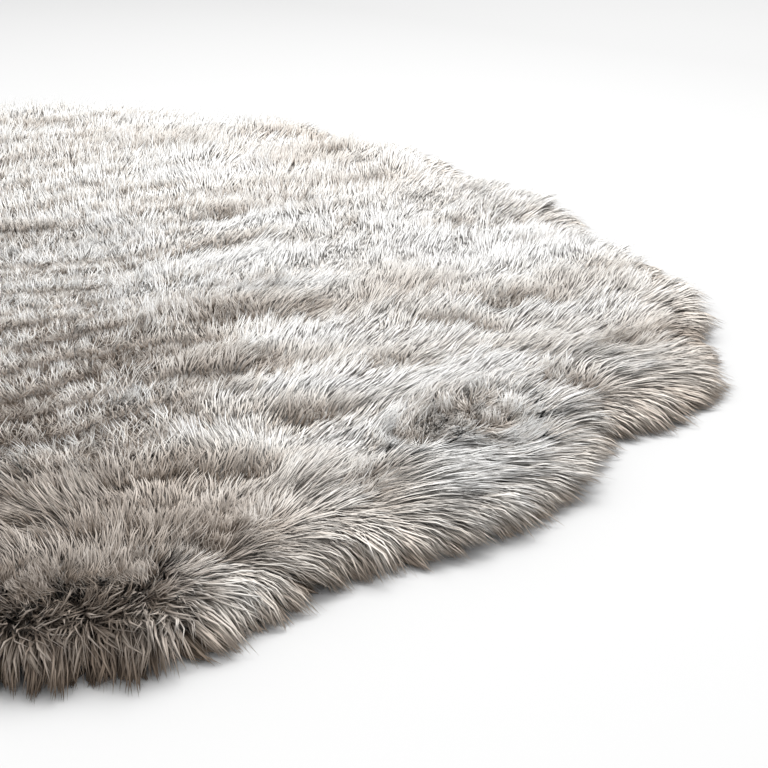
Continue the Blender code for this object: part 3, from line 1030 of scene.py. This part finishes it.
# The pile's finish: its colours from the darkest to the palest, and what moves it between them
taupe = {
    "colours": [(0.00, (0.100, 0.076, 0.058, 1)), (0.30, (0.270, 0.218, 0.176, 1)),
                (0.62, (0.590, 0.525, 0.465, 1)), (0.84, (0.830, 0.790, 0.738, 1)),
                (1.00, (0.965, 0.957, 0.938, 1))],
    "tip": 0.30,
    "tone": 0.06,
    "streaks": 0.20,
    "streakSize": (3.0, 2.0),  # across a fibre, and along a strand
    "streakShift": (53.0, 37.0),  # how far the streaks differ from strand to strand
    "streakHeight": 0.0010,
    "low": (0.028, 0.30),  # painted shade: below this height it darkens, by this much at the floor
    # a warm painted shade: below this height the colour is multiplied by this tint, fully at the floor
    "paintedShadeTint": (1.0, 0.93, 0.86, 1),
    "paintedShadeTintBelow": 0.040,
    "asCoat": 0.82,  # how much it shades as a coat, and the rest strand by strand
}


def pileMaterial():
    material, graph = newMaterial("taupePile")
    share, tone, pale = [graph.carried(name) for name in ("strandShare", "strandTone", "strandPale")]
    around, _, _ = graph.carried("strandUV", "Vector").split()
    _, _, height = graph.add("ShaderNodeTexCoord", out="Object").split()
    across, along = taupe["streakSize"]
    shiftAcross, shiftDeep = taupe["streakShift"]
    where = graph.vector(around * graph.carried("strandFibres") * across + tone * shiftAcross,
                         share * along, tone * shiftDeep)
    streaks = graph.add("ShaderNodeTexNoise", {"noise_dimensions": "3D"},
                        {"Vector": where, "Scale": 1.0, "Detail": 2.0})
    level = pale + share * taupe["tip"] + tone * taupe["tone"] + (streaks - 0.5) * taupe["streaks"]
    # Painted shade: darker near the floor
    floorShadeBelow, darker = taupe["low"]
    level = level - (1 - (height / floorShadeBelow).atMost(1.0)) * darker
    colour = graph.add("ShaderNodeValToRGB", {"ramp": taupe["colours"]}, {"Fac": level})
    # Warm painted shade near the floor
    paintedShadeTinted = 1 - (height / taupe["paintedShadeTintBelow"]).atMost(1.0)
    colour = graph.add("ShaderNodeMix", {"data_type": "RGBA", "blend_type": "MULTIPLY"},
                       {"Factor": paintedShadeTinted, "A": colour, "B": taupe["paintedShadeTint"]}, "Result")
    own = graph.add("ShaderNodeNewGeometry", out="Normal")
    normal = graph.carried("strandNormal", "Vector") * taupe["asCoat"] + own * (1 - taupe["asCoat"])
    bump = graph.add("ShaderNodeBump", out="Normal", sockets={
        "Height": streaks, "Strength": 0.5, "Distance": taupe["streakHeight"], "Normal": normal.unit()})
    graph.finish({"Base Color": colour, "Normal": bump, "Roughness": 0.55, "Specular IOR Level": 0.15,
                  "Sheen Weight": 0.10, "Sheen Roughness": 0.4})
    return material


def underMaterial():
    material, graph = newMaterial("underPileFelt")
    where = graph.add("ShaderNodeTexCoord", out="Object")
    fineness, paler = underPile["fuzz"]
    fuzz = graph.add("ShaderNodeTexNoise", sockets={"Vector": where, "Scale": fineness, "Detail": 3.0})
    colour = graph.add("ShaderNodeValToRGB", {"ramp": underPile["colours"]},
                       {"Fac": fuzz * paler + graph.carried("underPale")})
    bump = graph.add("ShaderNodeBump", out="Normal", sockets={
        "Height": fuzz, "Strength": 0.8, "Distance": underPile["fuzzHeight"]})
    graph.finish({"Base Color": colour, "Normal": bump, "Roughness": 0.95, "Specular IOR Level": 0.1})
    return material


def growPile():
    tree, keys = buildPileTree(pileMaterial())
    pieces = []
    for number, ((kind, zone), (rings, density, width, comesOut)) in enumerate(coats.items()):
        name = kind + zone
        holder = addObject(name + "Grower", grower)
        modifier = holder.modifiers.new("grow", "NODES")
        modifier.node_group = tree
        values = {"zone": list(zones).index(zone), "rings": rings, "density": float(density),
                  "width": width, "comesOut": comesOut, "seed": strand["seeds"]["roots"] + number}
        values.update((key, strand[key]) for key in strand["inputs"])
        for key, value in values.items():
            modifier[keys[key]] = value
        deps = bpy.context.evaluated_depsgraph_get()
        mesh = bpy.data.meshes.new_from_object(holder.evaluated_get(deps))
        holder.modifiers.clear()
        bpy.data.objects.remove(holder)
        mesh.name = name
        pieces.append(addObject(name, mesh))
        mesh.calc_loop_triangles()
        print(name, len(mesh.loop_triangles), "triangles")
    return pieces


# The ground cloth that the pile is sewn to
groundCloth = {
    "inset": 0.040,
    "thickness": 0.002,
    "rings": 12,
    "colours": [(0.1, (0.25, 0.22, 0.19, 1)), (0.9, (0.42, 0.38, 0.34, 1))],
    "threads": 160.0,
    "slubs": 60.0,
}


def makeGroundCloth():
    edge = insetRim(groundCloth["inset"])
    thick = groundCloth["thickness"]
    rows = [np.column_stack([edge * (i + 1) / groundCloth["rings"], np.full(len(edge), thick)])
            for i in range(groundCloth["rings"])]
    rows.append(np.column_stack([edge, np.zeros(len(edge))]))
    mesh = spinMesh("groundCloth", rows, thick, 0.0)
    x, y = edge[:, 0], edge[:, 1]
    area = 0.5 * abs((x * np.roll(y, -1) - y * np.roll(x, -1)).sum())
    size = edge.max(axis=0) - edge.min(axis=0)
    return addObject("groundCloth", mesh), size, area


def clothMaterial():
    material, graph = newMaterial("groundWeave")
    where = graph.add("ShaderNodeTexCoord", out="Object")
    warp, weft = [graph.add("ShaderNodeTexWave", {"bands_direction": way},
                            {"Vector": where, "Scale": groundCloth["threads"]}) for way in ("X", "Y")]
    slubs = graph.add("ShaderNodeTexNoise", sockets={"Vector": where, "Scale": groundCloth["slubs"]})
    weave = slubs * 0.4 + warp * weft * 0.6
    colour = graph.add("ShaderNodeValToRGB", {"ramp": groundCloth["colours"]}, {"Fac": weave})
    bump = graph.add("ShaderNodeBump", out="Normal", sockets={
        "Height": weave, "Strength": 0.4, "Distance": 0.001})
    graph.finish({"Base Color": colour, "Normal": bump, "Roughness": 0.9})
    return material


# Floor and light
studio = {
    "floor": (0.63, 0.63, 0.63, 1),
    "floorFar": (0.40, 0.40, 0.40, 1),
    "farWay": (0.750, 0.660, 0.0),  # the floor is a little darker this way, below the light
    "farFrom": -1.1,
    "farTo": 1.8,
    "floorSize": 30.0,
    "sky": (1.0, 1.0, 1.0, 1),
    "skyStrength": 0.95,
    "keyPlace": (1.5, 1.2, 3.2),
    "keyAim": (0.2, -0.1, 0.0),
    "keySize": 2.6,
    "keyPower": 180.0,
}


def addFloor():
    bpy.ops.mesh.primitive_plane_add(size=studio["floorSize"], location=(0, 0, 0))
    floor = bpy.context.object
    floor.name = "floor"
    material, graph = newMaterial("paleFloor")
    where = graph.add("ShaderNodeTexCoord", out="Object")
    away = graph.add("ShaderNodeVectorMath", {"operation": "DOT_PRODUCT"},
                     {0: where, 1: studio["farWay"]}, "Value")
    colour = graph.add("ShaderNodeValToRGB", {"ramp": [(0.0, studio["floor"]), (1.0, studio["floorFar"])]},
                       {"Fac": (away - studio["farFrom"]) / (studio["farTo"] - studio["farFrom"])})
    graph.finish({"Base Color": colour, "Roughness": 0.7, "Specular IOR Level": 0.1})
    floor.data.materials.append(material)


def addLight():
    world = bpy.data.worlds.new("studio")
    world.use_nodes = True
    sky = world.node_tree.nodes["Background"]
    sky.inputs["Color"].default_value = studio["sky"]
    sky.inputs["Strength"].default_value = studio["skyStrength"]
    scene.world = world
    key = bpy.data.objects.new("key", bpy.data.lights.new("key", "AREA"))
    key.data.size = studio["keySize"]
    key.data.energy = studio["keyPower"]
    key.location = studio["keyPlace"]
    aim = Vector(studio["keyAim"]) - key.location
    key.rotation_euler = aim.to_track_quat("-Z", "Y").to_euler()
    scene.collection.objects.link(key)


pilePieces = growPile()
under = addObject("underPile", underMesh)
underMesh.materials.append(underMaterial())
underMesh.shade_smooth()
ground, groundSize, groundArea = makeGroundCloth()
ground.data.materials.append(clothMaterial())
addFloor()
addLight()
bpy.data.meshes.remove(grower)
print("ground cloth", groundSize.round(3), "m, area", round(groundArea, 3))

for piece in [ground, under] + pilePieces:
    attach(piece, "root")
    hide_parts("shag_rug")
